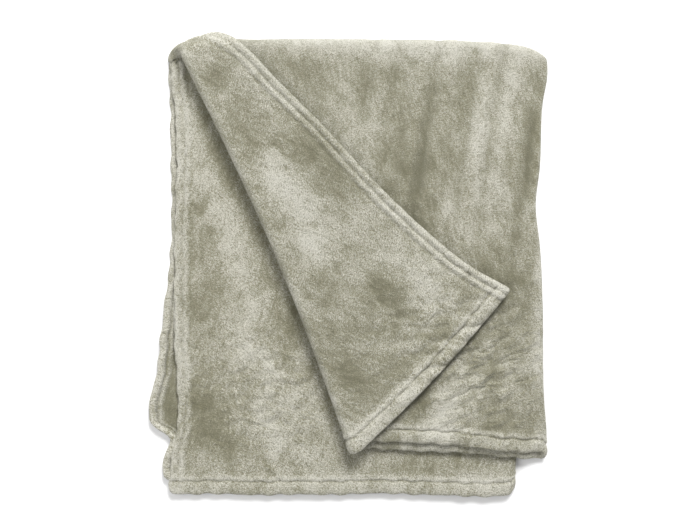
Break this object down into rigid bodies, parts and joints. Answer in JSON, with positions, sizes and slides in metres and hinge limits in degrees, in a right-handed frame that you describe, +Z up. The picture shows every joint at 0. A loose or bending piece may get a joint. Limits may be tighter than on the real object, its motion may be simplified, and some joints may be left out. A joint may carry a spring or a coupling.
{
  "type": "folded throw blanket",
  "caption": "Plush fleece throw folded in half twice and laid flat, with its top left corner turned back across the front.",
  "frame": {"origin": "middle of the bounding box, on the surface that the throw lies on", "axes": "+Z up, away from the surface it lies on; +Y towards the top fold; +X towards the side fold, with the turned corner on the -X side"},
  "size_m": [0.686, 0.7892, 0.058],
  "materials": {
    "plush_fleece": "short plush pile, sage grey green, brushed in patches",
    "fleece_hem": "turned plush edge, the same pile",
    "sewing_thread": "matching sewing thread sunk in the pile"
  },
  "bodies": {
    "folded_stack": {"back_inner_bottom_hem": "fleece_hem", "back_inner_bottom_stitching": "sewing_thread", "back_inner_panel": "plush_fleece", "back_inner_side_hem": "fleece_hem", "back_inner_side_stitching": "sewing_thread", "back_outer_bottom_hem": "fleece_hem", "back_outer_bottom_stitching": "sewing_thread", "back_outer_panel": "plush_fleece", "back_outer_side_hem": "fleece_hem", "back_outer_side_stitching": "sewing_thread", "corner_crease_inner": "plush_fleece", "corner_crease_outer": "plush_fleece", "front_inner_bottom_hem": "fleece_hem", "front_inner_bottom_stitching": "sewing_thread", "front_inner_panel": "plush_fleece", "front_outer_bottom_hem": "fleece_hem", "front_outer_bottom_stitching": "sewing_thread", "front_outer_panel": "plush_fleece", "side_fold_back": "plush_fleece", "side_fold_front": "plush_fleece", "side_fold_turn": "plush_fleece", "top_fold_inner": "plush_fleece", "top_fold_outer": "plush_fleece", "tucked_corner_hem": "fleece_hem"},
    "turned_corner": {"corner_inner_bottom_hem": "fleece_hem", "corner_inner_panel": "plush_fleece", "corner_inner_side_hem": "fleece_hem", "corner_inner_stitching": "sewing_thread", "corner_outer_bottom_hem": "fleece_hem", "corner_outer_panel": "plush_fleece", "corner_outer_side_hem": "fleece_hem", "corner_outer_stitching": "sewing_thread"}
  },
  "joints": [
    {"name": "corner_crease", "type": "hinge", "parent": "folded_stack", "child": "turned_corner", "pos_m": [-0.1129, 0, 0.039], "axis": [0.3912, -0.9203, 0], "range_deg": [0, 179], "deforming": ["corner_crease_inner", "corner_crease_outer"]}
  ]
}
